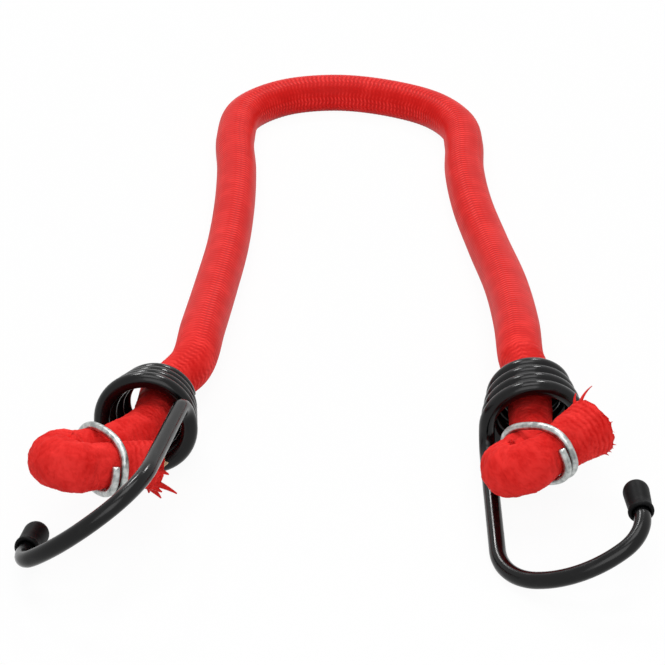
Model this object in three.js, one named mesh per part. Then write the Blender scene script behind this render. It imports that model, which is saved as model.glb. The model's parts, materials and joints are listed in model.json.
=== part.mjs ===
// A bungee cord lying in a U: a knitted sheath over a rubber core, folded back on itself at each end
// inside a galvanised ring, with a coated wire hook wound round the cord behind each fold.
// Millimetres and degrees. The origin is under the middle of the bend, +X to the right hook and +Z up.
import * as THREE from 'three';

const { degToRad, lerp } = THREE.MathUtils;

// Cord
const cordDiameter = 10;
const cordFlat = 1;
const sheathWall = 1;
const coreClearance = 0.3;
const stretchGap = 0.3;
const cordSides = 11;

// Folded ends
const neckDiameter = 8.8;
const pressedThickness = 7.6;
const pressedWidth = 9.4;
const strandGap = 0.6;
const pressReach = 1.9;
const loopRadius = 5.6;
const loopWidth = 10.4;
const coreRecess = 0.6;

// Crimp rings
const ringWire = 1.6;
const ringClearance = 0.35;
const ringOverlap = 9;
const ringTurn = 3;
const ringSides = 6;

// Hooks
const steelDiameter = 2.2;
const coatingClearance = 0.2;
const coatingWall = 0.35;
const wireSides = 6;
const coilTurns = 4;
const turnGap = 0.2;
const mouthRadius = 9.5;
const coilClearance = 0.55;
const stepsPerTurn = 20;
const shankBend = 4.5;
const shankLength = 27;
const heelRadius = 12.7;
const saddleRadius = 20.8;
const noseRadius = 7.7;
const throatArcs = [
  { radius: heelRadius, turn: 65, steps: 6 },
  { radius: saddleRadius, turn: 50, steps: 5 },
  { radius: noseRadius, turn: 68, steps: 6 },
];
const tipLength = 6.7;

// Tip caps
const capClearance = 0.25;
const capLength = 8.2;
const capWall = 0.45;
const capSwell = 0.25;
const capLip = 1.2;
const capEndWall = 1.6;

// Route of the cord on the floor, from the left coil round the bend to the right coil: x, y and the rise
// of the middle line above its height where the cord lies flat.
const leftLegRoute = [
  [-31.3, -147.4, 3.6],
  [-29.5, -129.4, 2.4],
  [-27.6, -108.6, 1],
  [-25.8, -87, 0],
  [-25, -66, 0],
  [-25.2, -47, 0],
];
const bendRoute = [
  [-26.2, -29.3, 0],
  [-24, -13.4, 0],
  [-14, -3.2, 0],
  [0, 0, 0],
  [14, -3.2, 0],
  [26.4, -10.9, 0],
  [32.6, -21.5, 0],
  [33.6, -33, 0],
];
const rightLegRoute = [
  [33, -47, 0],
  [33.9, -66, 0],
  [36.6, -86.7, 0],
  [39.1, -110.5, 2.5],
  [39.8, -133.3, 5.5],
  [39.4, -152.1, 8],
];

// Each end has its own frame: its origin is the middle of the coil's mouth, z points out of the mouth,
// x to the side and y up. The neck runs through the coil to the fold; the fold points along tip, and the
// tail lies on its outer side.
const ends = {
  left: {
    mouth: [-39, -175.6],
    yaw: -8.3,
    pitch: 8.8,
    shankAngle: 37.2,
    neck: [
      [0.2, -0.2, -19.5],
      [0.7, -0.2, -9.5],
      [1.1, -0.4, -2.5],
      [-0.8, -0.5, 3.6],
      [-2.9, -0.4, 7.8],
      [-4.8, -0.2, 11.1],
    ],
    ringCentre: [-4.9, 0.2, 17.4],
    loopStart: 3.6,
    tip: [-0.745, 0.17, 0.634],
    outer: [0.653, 0.055, 0.753],
    tailLength: 9.5,
    tailDiameter: 9.6,
    tailLift: 1.2,
  },
  right: {
    mouth: [40.2, -174.9],
    yaw: 0.7,
    pitch: -7.2,
    shankAngle: 206.5,
    neck: [
      [0, -0.3, -19.5],
      [0, -0.3, -9.5],
      [-0.5, -0.3, -0.5],
      [-0.4, 0.5, 4.3],
      [-0.6, 1.5, 7.2],
    ],
    ringCentre: [-0.7, 4.3, 13.4],
    loopStart: 1.9,
    tip: [-0.711, 0.0, 0.666],
    outer: [0.646, 0.532, 0.545],
    tailLength: 11.5,
    tailDiameter: 12,
    tailLift: 0.8,
  },
};

// Sizes that follow from the ones above
const cordRadius = cordDiameter / 2;
const restHeight = cordRadius - cordFlat;
const strandOffset = (pressedThickness + strandGap) / 2;
const loopThickness = 2 * (loopRadius - strandGap);
const steelRadius = steelDiameter / 2;
const coatingBore = steelRadius + coatingClearance;
const coatedRadius = coatingBore + coatingWall;
const coilPitch = 2 * coatedRadius + turnGap;
const backRadius = cordRadius + coilClearance + coatedRadius;
const shankRadius = Math.hypot(mouthRadius, shankBend);
const capBore = coatedRadius + capClearance;

const materials = {
  sheath: { color: '#d92f30', roughness: 0.8, metalness: 0 },
  core: { color: '#cdb58a', roughness: 0.85, metalness: 0 },
  steel: { color: '#8d9092', roughness: 0.4, metalness: 1 },
  coating: { color: '#232325', roughness: 0.45, metalness: 0 },
  cap: { color: '#1d1d1f', roughness: 0.6, metalness: 0 },
  galvanised: { color: '#b4b7b8', roughness: 0.45, metalness: 1 },
};

function piece(name, geometry, material) {
  const mesh = new THREE.Mesh(geometry, new THREE.MeshStandardMaterial(materials[material]));
  mesh.name = name;
  return mesh;
}

// Direction of a line of points at each of them.
function directionsOf(points) {
  return points.map((_, i) => {
    const before = points[Math.max(i - 1, 0)];
    const after = points[Math.min(i + 1, points.length - 1)];
    return after.clone().sub(before).normalize();
  });
}

// Places along a line of points, each with two directions across it that turn as little as they can.
function framesAlong(points, directions, firstSide) {
  let side = firstSide.clone();
  return points.map((point, i) => {
    const along = directions[i];
    side = side.clone().addScaledVector(along, -side.dot(along)).normalize();
    return { point, side, up: along.clone().cross(side) };
  });
}

function ringAt(frame, outline) {
  const { point, side, up } = frame;
  return outline.map(([x, y]) => point.clone().addScaledVector(side, x).addScaledVector(up, y));
}

function roundOutline(radius, sides) {
  return Array.from({ length: sides }, (_, i) => {
    const angle = (2 * Math.PI * i) / sides;
    return [radius * Math.cos(angle), radius * Math.sin(angle)];
  });
}

// A circle cut off flat at a depth below its middle, on its side axis.
function flattenedOutline(radius, depth, sides) {
  const half = Math.acos(Math.min(depth / radius, 1));
  return Array.from({ length: sides }, (_, i) => {
    const angle = Math.PI + half + ((2 * Math.PI - 2 * half) * i) / (sides - 1);
    return [radius * Math.cos(angle), radius * Math.sin(angle)];
  });
}

// A closed tube through rings of points, solid or with a bore through rings of its own.
function tubeGeometry(rings, boreRings = []) {
  const count = rings[0].length;
  const last = rings.length - 1;
  const corners = [...rings, ...boreRings].flat();
  const outer = (i, j) => i * count + (j % count);
  const bore = (i, j) => (last + 1 + i) * count + (j % count);
  const faces = [];
  const quad = (a, b, c, d) => faces.push(a, b, c, a, c, d);
  for (let i = 0; i < last; i += 1) {
    for (let j = 0; j < count; j += 1) {
      quad(outer(i, j), outer(i, j + 1), outer(i + 1, j + 1), outer(i + 1, j));
      if (boreRings.length) quad(bore(i, j), bore(i + 1, j), bore(i + 1, j + 1), bore(i, j + 1));
    }
  }
  if (boreRings.length) {
    for (let j = 0; j < count; j += 1) {
      quad(outer(0, j), bore(0, j), bore(0, j + 1), outer(0, j + 1));
      quad(outer(last, j), outer(last, j + 1), bore(last, j + 1), bore(last, j));
    }
  } else {
    for (let j = 1; j < count - 1; j += 1) {
      faces.push(outer(0, 0), outer(0, j + 1), outer(0, j));
      faces.push(outer(last, 0), outer(last, j), outer(last, j + 1));
    }
  }
  const geometry = new THREE.BufferGeometry().setFromPoints(corners);
  geometry.setIndex(faces);
  geometry.computeVertexNormals();
  return geometry;
}

// The least gap between a wound tube and its own neighbouring turns, measured on its points.
function leastTurnGap(points, diameter, stepsApart) {
  let least = Infinity;
  points.forEach((point, i) => {
    points.slice(i + stepsApart).forEach((other) => {
      least = Math.min(least, point.distanceTo(other) - diameter);
    });
  });
  return least;
}

// Middle line of a hook in its end's frame, with the shank on +x, from the back of the coil to the tip.
function hookLine() {
  const points = [];
  const coilSteps = coilTurns * stepsPerTurn;
  const endAngle = -Math.atan2(shankBend, mouthRadius);
  for (let i = 0; i <= coilSteps; i += 1) {
    const left = 1 - i / coilSteps;
    const angle = endAngle - 2 * Math.PI * coilTurns * left;
    const radius = lerp(mouthRadius, backRadius, left);
    const height = -coilPitch * coilTurns * left;
    points.push(new THREE.Vector3(radius * Math.cos(angle), radius * Math.sin(angle), height));
  }
  const turnsEnd = points.length;
  const mouthEnd = points[turnsEnd - 1];
  const tangent = new THREE.Vector3(-Math.sin(endAngle), Math.cos(endAngle), 0);
  const bendSteps = 5;
  for (let i = 1; i <= bendSteps; i += 1) {
    const angle = ((Math.PI / 2) * i) / bendSteps;
    const point = mouthEnd.clone().addScaledVector(tangent, shankBend * Math.sin(angle));
    points.push(point.setZ(shankBend * (1 - Math.cos(angle))));
  }
  let heading = 0;
  const place = new THREE.Vector3(shankRadius, 0, shankBend);
  const advance = (length) => {
    place.x -= length * Math.sin(heading);
    place.z += length * Math.cos(heading);
    points.push(place.clone());
  };
  advance(shankLength);
  throatArcs.forEach(({ radius, turn, steps }) => {
    const half = degToRad(turn) / steps / 2;
    for (let i = 0; i < steps; i += 1) {
      heading += half;
      advance(2 * radius * Math.sin(half));
      heading += half;
    }
  });
  advance(tipLength);
  return { points, turns: points.slice(0, turnsEnd), tipHeading: heading };
}

const hook = hookLine();
const coilGap = leastTurnGap(hook.turns, 2 * coatedRadius, Math.round(stepsPerTurn / 2));
console.log(`least gap between the turns of a hook's coil: ${coilGap.toFixed(2)} mm`);

function wireGeometry(radius, boreRadius = 0) {
  const fromTip = [...hook.points].reverse();
  const frames = framesAlong(fromTip, directionsOf(fromTip), new THREE.Vector3(0, 1, 0));
  const skin = frames.map((frame) => ringAt(frame, roundOutline(radius, wireSides)));
  const bores = boreRadius ? frames.map((frame) => ringAt(frame, roundOutline(boreRadius, wireSides))) : [];
  return tubeGeometry(skin, bores);
}

// A blind cap over the tip, swelling from a lip at its open end to a round closed end.
function capGeometry() {
  const baseRadius = capBore + capWall;
  const endRadius = baseRadius + capSwell;
  const floor = capLength - capEndWall;
  const round = 0.4 * endRadius;
  const profile = [
    [0, floor],
    [capBore, floor],
    [capBore, 0],
    [baseRadius + capSwell / 2, 0],
    [baseRadius + capSwell / 2, capLip],
    [baseRadius, capLip],
    [endRadius, capLength - round],
    [endRadius - 0.3 * round, capLength - 0.3 * round],
    [endRadius - round, capLength],
    [0, capLength],
  ];
  const geometry = new THREE.LatheGeometry(profile.map(([r, z]) => new THREE.Vector2(r, z)), 16);
  const along = new THREE.Vector3(-Math.sin(hook.tipHeading), 0, Math.cos(hook.tipHeading));
  geometry.applyQuaternion(new THREE.Quaternion().setFromUnitVectors(new THREE.Vector3(0, 1, 0), along));
  const base = hook.points[hook.points.length - 1].clone().addScaledVector(along, capClearance - floor);
  return geometry.translate(base.x, base.y, base.z);
}

// The frame of an end, with its hook standing on the floor.
function endFrame({ mouth, yaw, pitch, shankAngle }) {
  const turn = degToRad(yaw);
  const tilt = degToRad(pitch);
  const out = new THREE.Vector3(
    Math.sin(turn) * Math.cos(tilt),
    -Math.cos(turn) * Math.cos(tilt),
    Math.sin(tilt),
  );
  const side = new THREE.Vector3(0, 0, 1).cross(out).normalize();
  const frame = new THREE.Matrix4().makeBasis(side, out.clone().cross(side), out);
  const spin = new THREE.Matrix4().makeRotationZ(degToRad(shankAngle));
  const hookFrame = frame.clone().multiply(spin);
  const heights = hook.points.map((point) => point.clone().applyMatrix4(hookFrame).z - coatedRadius);
  const tipHeight = heights[heights.length - 1] - (capBore + capWall + capSwell - coatedRadius);
  const place = new THREE.Vector3(...mouth, -Math.min(...heights, tipHeight));
  return { frame: frame.setPosition(place), hookFrame: hookFrame.setPosition(place) };
}

// Directions of a fold: along to its tip, from the inner strand to the outer one, and across both.
function foldAxes({ tip, outer }) {
  const along = new THREE.Vector3(...tip).normalize();
  const stack = new THREE.Vector3(...outer);
  stack.addScaledVector(along, -stack.dot(along)).normalize();
  return { along, stack, across: along.clone().cross(stack) };
}

// Middle line of an end's cord in the end's frame, from behind the coil to the cut of the tail, with the
// cord's thickness in the plane of the fold and its width across that plane at each point.
function endLine(end) {
  const { along, stack } = foldAxes(end);
  const at = (reach, offset) => new THREE.Vector3(...end.ringCentre)
    .addScaledVector(along, reach)
    .addScaledVector(stack, offset);
  const round = (point, diameter) => ({ point, thickness: diameter, width: diameter });
  const pressed = (reach, offset) => (
    { point: at(reach, offset), thickness: pressedThickness, width: pressedWidth }
  );
  const neckEnd = end.neck.length - 1;
  const neck = end.neck.map((point, i) => (
    round(new THREE.Vector3(...point), lerp(cordDiameter, neckDiameter, i / neckEnd))
  ));
  const loop = [0, 45, 90, 135, 180].map((degrees) => {
    const angle = degToRad(degrees);
    const swell = Math.sin(angle);
    const radius = lerp(strandOffset, loopRadius, swell);
    return {
      point: at(end.loopStart + radius * swell, -radius * Math.cos(angle)),
      thickness: lerp(pressedThickness, loopThickness, swell),
      width: lerp(pressedWidth, loopWidth, swell),
    };
  });
  return [
    ...neck,
    ...[-pressReach, 0].map((reach) => pressed(reach, -strandOffset)),
    ...loop,
    ...[0, -pressReach].map((reach) => pressed(reach, strandOffset)),
    ...[0.5, 1].map((part) => round(
      at(-lerp(pressReach, end.tailLength, part), strandOffset + end.tailLift * part),
      lerp(pressedWidth, end.tailDiameter, part),
    )),
  ];
}

// An oval ring round both strands of a fold, its two ends lying side by side below the outer strand.
function ringGeometry(end) {
  const { along, stack, across } = foldAxes(end);
  const radius = pressedWidth / 2 + ringClearance + ringWire / 2;
  const half = strandOffset + (pressedThickness - pressedWidth) / 2;
  const quarter = (Math.PI / 2) * radius;
  const lengths = [quarter, 2 * half, 2 * quarter, 2 * half, quarter];
  const around = lengths.reduce((sum, length) => sum + length, 0);
  const placeAt = (distance) => {
    const wrapped = ((distance % around) + around) % around;
    let rest = wrapped;
    let run = 0;
    while (rest > lengths[run]) {
      rest -= lengths[run];
      run += 1;
    }
    if (run === 1) return [half - rest, radius];
    if (run === 3) return [rest - half, -radius];
    const start = [0, 0, Math.PI / 2, 0, -Math.PI / 2][run];
    const angle = start + rest / radius;
    const middle = run === 2 ? -half : half;
    return [middle + radius * Math.cos(angle), radius * Math.sin(angle)];
  };
  const length = around + ringOverlap;
  const steps = 36;
  const rise = ringWire + ringClearance;
  const points = [];
  for (let i = 0; i <= steps; i += 1) {
    const distance = -ringOverlap / 2 - ringTurn + (length * i) / steps;
    const [up, sideways] = placeAt(distance);
    const climb = rise * (i / steps - 0.5) * (length / around);
    points.push(new THREE.Vector3(...end.ringCentre)
      .addScaledVector(stack, up)
      .addScaledVector(across, sideways)
      .addScaledVector(along, climb));
  }
  const frames = framesAlong(points, directionsOf(points), along);
  return tubeGeometry(frames.map((frame) => ringAt(frame, roundOutline(ringWire / 2, ringSides))));
}

// One unbroken middle line for the whole cord, from the left tail to the right one.
const endFrames = { left: endFrame(ends.left), right: endFrame(ends.right) };
const endLines = {};
const endAcross = {};
Object.entries(ends).forEach(([side, end]) => {
  const { frame } = endFrames[side];
  endLines[side] = endLine(end);
  endLines[side].forEach(({ point }) => point.applyMatrix4(frame));
  endAcross[side] = foldAxes(end).across.transformDirection(frame);
});
const onFloor = ([x, y, rise]) => (
  { point: new THREE.Vector3(x, y, restHeight + rise), thickness: cordDiameter, width: cordDiameter }
);
const cordLine = [
  ...endLines.left.reverse(),
  ...[...leftLegRoute, ...bendRoute, ...rightLegRoute].map(onFloor),
  ...endLines.right,
];
const cordCurve = new THREE.CatmullRomCurve3(cordLine.map(({ point }) => point), false, 'centripetal');

// The stretches of the cord, each from one of its points to another.
const leftCoil = endLines.left.length - 1;
const bendStart = leftCoil + 1 + leftLegRoute.length;
const bendEnd = bendStart + bendRoute.length - 1;
const rightCoil = bendEnd + 1 + rightLegRoute.length;
const rightTail = cordLine.length - 1;
const stretches = [
  { name: 'left_end', from: leftCoil, to: 0, steps: 2, across: endAcross.left },
  { name: 'left_leg', from: bendStart, to: leftCoil, steps: 1 },
  { name: 'cord_bend', from: bendStart, to: bendEnd, steps: 2 },
  { name: 'right_leg', from: bendEnd, to: rightCoil, steps: 1 },
  { name: 'right_end', from: rightCoil, to: rightTail, steps: 2, across: endAcross.right },
];

// The line of a stretch, short of its neighbours by half a gap at each end.
function stretchLine({ from, to, steps }) {
  const count = Math.abs(to - from) * steps;
  const way = Math.sign(to - from);
  const places = Array.from({ length: count + 1 }, (_, i) => from + (way * i) / steps);
  const points = places.map((place) => cordCurve.getPoint(place / rightTail));
  const directions = places.map((place) => cordCurve.getTangent(place / rightTail).multiplyScalar(way));
  const sizes = places.map((place) => {
    const before = cordLine[Math.floor(place)];
    const after = cordLine[Math.ceil(place)];
    return ['thickness', 'width'].map((size) => lerp(before[size], after[size], place % 1));
  });
  points[0].addScaledVector(directions[0], stretchGap / 2);
  points[count].addScaledVector(directions[count], -stretchGap / 2);
  return { points, directions, sizes };
}

// Sheath and core of a stretch that lies on the floor, flat underneath.
function flatStretch({ points, directions }) {
  const frames = framesAlong(points, directions, new THREE.Vector3(0, 0, 1));
  const rings = (inset) => frames.map((frame) => (
    ringAt(frame, flattenedOutline(cordRadius - inset, restHeight - inset, cordSides))
  ));
  return {
    sheath: tubeGeometry(rings(0), rings(sheathWall)),
    core: tubeGeometry(rings(sheathWall + coreClearance)),
  };
}

// Sheath and core of an end, pressed flat under the ring, plump in the loop and splayed at the cut.
function foldedStretch({ points, directions, sizes }, across) {
  const frames = framesAlong(points, directions, new THREE.Vector3(0, 0, 1));
  const last = points.length - 1;
  const rings = (inset, places) => places.map((frame, i) => (
    ringAt({ ...frame, point: new THREE.Vector3() }, roundOutline(1, cordSides)).map((spoke) => {
      const [thickness, width] = sizes[i].map((size) => size / 2 - inset);
      const wide = spoke.dot(across);
      return frame.point.clone()
        .addScaledVector(spoke, thickness)
        .addScaledVector(across, wide * (width - thickness));
    })
  ));
  const corePlaces = [...frames];
  const coreEnd = points[last].clone().addScaledVector(directions[last], -coreRecess);
  corePlaces[last] = { ...frames[last], point: coreEnd };
  return {
    sheath: tubeGeometry(rings(0, frames), rings(sheathWall, frames)),
    core: tubeGeometry(rings(sheathWall + coreClearance, corePlaces)),
  };
}

const bungee = new THREE.Group();

stretches.forEach((stretch) => {
  const line = stretchLine(stretch);
  const solids = stretch.across ? foldedStretch(line, stretch.across) : flatStretch(line);
  bungee.add(piece(`${stretch.name}_sheath`, solids.sheath, 'sheath'));
  bungee.add(piece(`${stretch.name}_rubber_core`, solids.core, 'core'));
});

Object.entries(ends).forEach(([side, end]) => {
  const folded = new THREE.Group();
  folded.applyMatrix4(endFrames[side].frame);
  folded.add(piece(`${side}_crimp_ring`, ringGeometry(end), 'galvanised'));
  bungee.add(folded);

  const hookGroup = new THREE.Group();
  hookGroup.applyMatrix4(endFrames[side].hookFrame);
  hookGroup.add(piece(`${side}_hook_wire`, wireGeometry(steelRadius), 'steel'));
  hookGroup.add(piece(`${side}_hook_coating`, wireGeometry(coatedRadius, coatingBore), 'coating'));
  hookGroup.add(piece(`${side}_tip_cap`, capGeometry(), 'cap'));
  bungee.add(hookGroup);
});

export default bungee;
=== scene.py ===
import bisect
import functools
import json
import math

import bpy
import numpy as np
from mathutils import Matrix, Vector


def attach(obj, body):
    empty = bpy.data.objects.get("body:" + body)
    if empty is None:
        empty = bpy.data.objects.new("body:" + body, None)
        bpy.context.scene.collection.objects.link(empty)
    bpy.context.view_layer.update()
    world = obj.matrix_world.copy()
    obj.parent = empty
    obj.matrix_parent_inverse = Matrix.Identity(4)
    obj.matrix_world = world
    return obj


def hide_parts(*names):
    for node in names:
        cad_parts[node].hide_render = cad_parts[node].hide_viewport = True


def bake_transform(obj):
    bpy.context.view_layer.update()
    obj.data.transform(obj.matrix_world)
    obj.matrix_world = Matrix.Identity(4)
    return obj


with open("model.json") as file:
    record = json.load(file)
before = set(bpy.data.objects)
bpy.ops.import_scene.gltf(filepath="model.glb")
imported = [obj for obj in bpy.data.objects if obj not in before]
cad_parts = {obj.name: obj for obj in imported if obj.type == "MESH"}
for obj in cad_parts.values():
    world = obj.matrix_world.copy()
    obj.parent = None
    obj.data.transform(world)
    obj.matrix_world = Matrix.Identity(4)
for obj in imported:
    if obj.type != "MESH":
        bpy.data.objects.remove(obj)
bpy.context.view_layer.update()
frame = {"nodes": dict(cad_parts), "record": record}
print("frame loaded with", len(frame["nodes"]), "nodes")

mm = 0.001
fullTurn = 2 * math.pi
joints = {joint["name"]: joint for joint in frame["record"]["behaviour"]["joints"]}


# Small helpers

def linear(hexColour):
    channels = [int(hexColour[i:i + 2], 16) / 255 for i in (1, 3, 5)]
    return [c / 12.92 if c <= 0.04045 else ((c + 0.055) / 1.055) ** 2.4 for c in channels] + [1.0]


def addNode(tree, kind, inputs=None, **settings):
    # a node given as an input is linked by its first output
    node = tree.nodes.new(kind)
    for name, value in settings.items():
        setattr(node, name, value)
    for socket, value in (inputs or {}).items():
        source = value.outputs[0] if isinstance(value, bpy.types.Node) else value
        if isinstance(source, bpy.types.NodeSocket):
            tree.links.new(source, node.inputs[socket])
        else:
            node.inputs[socket].default_value = source
    return node


def addMath(add, operation, *inputs):
    return add("ShaderNodeMath", dict(enumerate(inputs)), operation=operation)


def addRange(add, value, source=(0.0, 1.0), target=(0.0, 1.0), **settings):
    # takes a value from one range over to another
    ends = {"From Min": source[0], "From Max": source[1], "To Min": target[0], "To Max": target[1]}
    return add("ShaderNodeMapRange", {"Value": value, **ends}, **settings)


def addNoise(add, place, sizeMm, detail, **inputs):
    return add("ShaderNodeTexNoise",
               {"Vector": place, "Scale": 1 / (sizeMm * mm), "Detail": detail, **inputs})


def smoothstep(value, low, high):
    t = min(max((value - low) / (high - low), 0.0), 1.0)
    return t * t * (3 - 2 * t)


def mix(a, b, share):
    return a + (b - a) * share


# Materials

def startMaterial(name):
    material = bpy.data.materials.new(name)
    material.use_nodes = True
    material.node_tree.nodes.clear()
    return material, functools.partial(addNode, material.node_tree)


def endMaterial(add, inputs):
    skin = add("ShaderNodeBsdfPrincipled", inputs)
    add("ShaderNodeOutputMaterial", {"Surface": skin})


def setStops(ramp, stops):
    # a colour ramp's colours, each with the level that it stands at
    elements = ramp.color_ramp.elements
    while len(elements) < len(stops):
        elements.new(1.0)
    for element, (level, colour) in zip(elements, stops):
        element.position = level
        element.color = linear(colour)


def mottled(add, patchMm, detail, stops):
    # colours that run into each other in soft patches
    place = add("ShaderNodeTexCoord").outputs["Object"]
    patches = addNoise(add, place, patchMm, detail)
    ramp = add("ShaderNodeValToRGB", {"Fac": patches})
    setStops(ramp, stops)
    return place, patches, ramp


def drawnLines(add, look):
    # fine lines along a drawn wire
    wireUv = add("ShaderNodeUVMap", uv_map="alongAround")
    stretched = add("ShaderNodeMapping", {"Vector": wireUv, "Scale": (1.0, look["lineStretch"], 1.0)})
    return add("ShaderNodeTexNoise", {"Vector": stretched, "Scale": 1 / look["lineMm"], "Detail": 2.0})


def knittedPolypropylene():
    # dyed filament yarn, circular knitted: painted highlights on ribs, painted shade between them, a silky
    # glint, dull where it is slack
    look = {"gap": (0.2, "#b31412"), "body": (0.72, "#cc1a17"), "paintedCrestHighlight": (1.0, "#ee3733"),
            "sheen": "#ff9a94", "yarnMm": 0.4, "patchMm": 5.0, "patchShare": 0.45,
            "roughness": (0.42, 0.72), "glint": (0.08, 0.06)}       # where it is taut and where it is slack
    material, add = startMaterial("knittedPolypropylene")
    shade = add("ShaderNodeAttribute", attribute_name="knitShade").outputs["Fac"]
    slack = add("ShaderNodeAttribute", attribute_name="slack").outputs["Fac"]
    place = add("ShaderNodeTexCoord").outputs["Object"]
    patches = addNoise(add, place, look["patchMm"], 2.0)
    patch = addMath(add, "MULTIPLY", patches, look["patchShare"])
    blend = addMath(add, "ADD", shade, patch)
    # the ramp turns the stored knit value into colour: painted shade in the gaps, plain body red, painted
    # highlight on the crests
    ramp = add("ShaderNodeValToRGB", {"Fac": blend})
    setStops(ramp, [look["gap"], look["body"], look["paintedCrestHighlight"]])
    yarn = addNoise(add, place, look["yarnMm"], 1.0)
    bump = add("ShaderNodeBump", {"Height": yarn, "Distance": 0.1 * mm, "Strength": 0.5})
    roughness = addRange(add, slack, target=look["roughness"])
    glint = addRange(add, slack, target=look["glint"])
    endMaterial(add, {"Base Color": ramp, "Roughness": roughness, "IOR": 1.49, "Specular IOR Level": glint,
                      "Sheen Weight": 0.03, "Sheen Roughness": 0.5, "Sheen Tint": linear(look["sheen"]),
                      "Normal": bump})
    return material


def naturalLatex():
    # extruded latex thread dusted with talc: pale, warm and dull
    look = {"warm": (0.3, "#b99a68"), "pale": (0.7, "#d9c6a1"), "roughness": 0.78, "dustMm": 0.8}
    material, add = startMaterial("naturalLatex")
    _, _, ramp = mottled(add, look["dustMm"], 3.0, [look["warm"], look["pale"]])
    endMaterial(add, {"Base Color": ramp, "Roughness": look["roughness"], "IOR": 1.52})
    return material


def extrudedVinyl():
    # black vinyl drawn over wire: soft gloss, faint drawing lines along it, small scuffs that turn it grey
    look = {"black": "#050506", "scuff": "#121213", "lineMm": 0.25, "lineStretch": 0.03, "scuffMm": 3.5,
            "greyFrom": (0.56, 0.78), "dullFrom": (0.3, 0.8), "roughness": (0.1, 0.32)}
    material, add = startMaterial("extrudedVinyl")
    place = add("ShaderNodeTexCoord").outputs["Object"]
    scuffs = addNoise(add, place, look["scuffMm"], 5.0, Roughness=0.65)
    worn = addRange(add, scuffs, look["greyFrom"])
    colour = add("ShaderNodeMix", data_type="RGBA",
                 inputs={"Factor": worn, 6: linear(look["black"]), 7: linear(look["scuff"])})
    gloss = addRange(add, scuffs, look["dullFrom"], look["roughness"])
    bump = add("ShaderNodeBump", {"Height": drawnLines(add, look), "Distance": 0.04 * mm, "Strength": 0.2})
    endMaterial(add, {"Base Color": colour.outputs[2], "Roughness": gloss, "IOR": 1.53,
                      "Specular IOR Level": 0.22, "Normal": bump})
    return material


def mouldedVinyl():
    # soft vinyl dip moulding: satin black with a fine stippled skin
    look = {"black": (0.35, "#050506"), "bloom": (0.75, "#0d0d0e"), "bloomMm": 4.0, "stippleMm": 0.3,
            "roughness": 0.48}
    material, add = startMaterial("mouldedVinyl")
    place, _, ramp = mottled(add, look["bloomMm"], 3.0, [look["black"], look["bloom"]])
    stipple = addNoise(add, place, look["stippleMm"], 1.0)
    bump = add("ShaderNodeBump", {"Height": stipple, "Distance": 0.03 * mm, "Strength": 0.4})
    endMaterial(add, {"Base Color": ramp, "Roughness": look["roughness"], "IOR": 1.53,
                      "Specular IOR Level": 0.08, "Normal": bump})
    return material


def galvanisedWire():
    # zinc dipped wire: pale grey metal with cloudy spangles and drawing scratches along it
    look = {"cloud": (0.35, "#8f9392"), "bright": (0.65, "#c6c9c7"), "spangleMm": 1.1,
            "lineMm": 0.12, "lineStretch": 0.05, "dullFrom": (0.3, 0.7), "roughness": (0.3, 0.46)}
    material, add = startMaterial("galvanisedWire")
    _, spangle, ramp = mottled(add, look["spangleMm"], 3.0, [look["cloud"], look["bright"]])
    dullness = addRange(add, spangle, look["dullFrom"], look["roughness"])
    bump = add("ShaderNodeBump", {"Height": drawnLines(add, look), "Distance": 0.03 * mm, "Strength": 0.4})
    endMaterial(add, {"Base Color": ramp, "Metallic": 1.0, "Roughness": dullness, "Normal": bump})
    return material


def drawnSteel():
    # bare spring steel wire: mid grey metal with a fine grain
    look = {"dark": (0.3, "#6d7072"), "steel": (0.7, "#8f9294"), "grainMm": 0.2, "roughness": 0.38}
    material, add = startMaterial("drawnSteel")
    _, _, ramp = mottled(add, look["grainMm"], 2.0, [look["dark"], look["steel"]])
    endMaterial(add, {"Base Color": ramp, "Metallic": 1.0, "Roughness": look["roughness"]})
    return material


finishes = {
    "sheath": knittedPolypropylene(),
    "core": naturalLatex(),
    "coating": extrudedVinyl(),
    "cap": mouldedVinyl(),
    "galvanised": galvanisedWire(),
    "steel": drawnSteel(),
}
print("materials made:", len(finishes))


# Route of the cord in metres: x, y and the rise of its middle line above its height on the floor
leftLegRoute = [
    (-0.0313, -0.1474, 0.0036),
    (-0.0295, -0.1294, 0.0024),
    (-0.0276, -0.1086, 0.001),
    (-0.0258, -0.087, 0),
    (-0.025, -0.066, 0),
    (-0.0252, -0.047, 0),
]
bendRoute = [
    (-0.0262, -0.0293, 0),
    (-0.024, -0.0134, 0),
    (-0.014, -0.0032, 0),
    (0, 0, 0),
    (0.014, -0.0032, 0),
    (0.0264, -0.0109, 0),
    (0.0326, -0.0215, 0),
    (0.0336, -0.033, 0),
]
rightLegRoute = [
    (0.033, -0.047, 0),
    (0.0339, -0.066, 0),
    (0.0366, -0.0867, 0),
    (0.0391, -0.1105, 0.0025),
    (0.0398, -0.1333, 0.0055),
    (0.0394, -0.1521, 0.008),
]

cordSizes = {
    "diameter": 0.010,
    "flat": 0.001,                 # how far the cord settles into its own underside
    "entering": 0.0097,            # just behind the coil
    "gripped": 0.0090,             # where the coil holds it
    "neck": 0.0088,
    "pressedThickness": 0.0076,    # where the ring squeezes it
    "pressedWidth": 0.0094,
    "strandGap": 0.0006,
    "pressReach": 0.0019,
    "loopRadius": 0.0056,
    "loopThickness": 0.0108,       # plump enough to close the inside of the loop
    "loopWidth": 0.0104,
    "stepsPerSpan": 24,
}

# How slack and how rippled the knit is, from 0 to 1
knitState = {
    "taut": (0.0, 0.0),
    "coil": (0.55, 0.0),
    "fold": (1.0, 0.0),
    "tailInRing": (0.9, 0.3),
    "tail": (0.85, 1.0),
}

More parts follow.
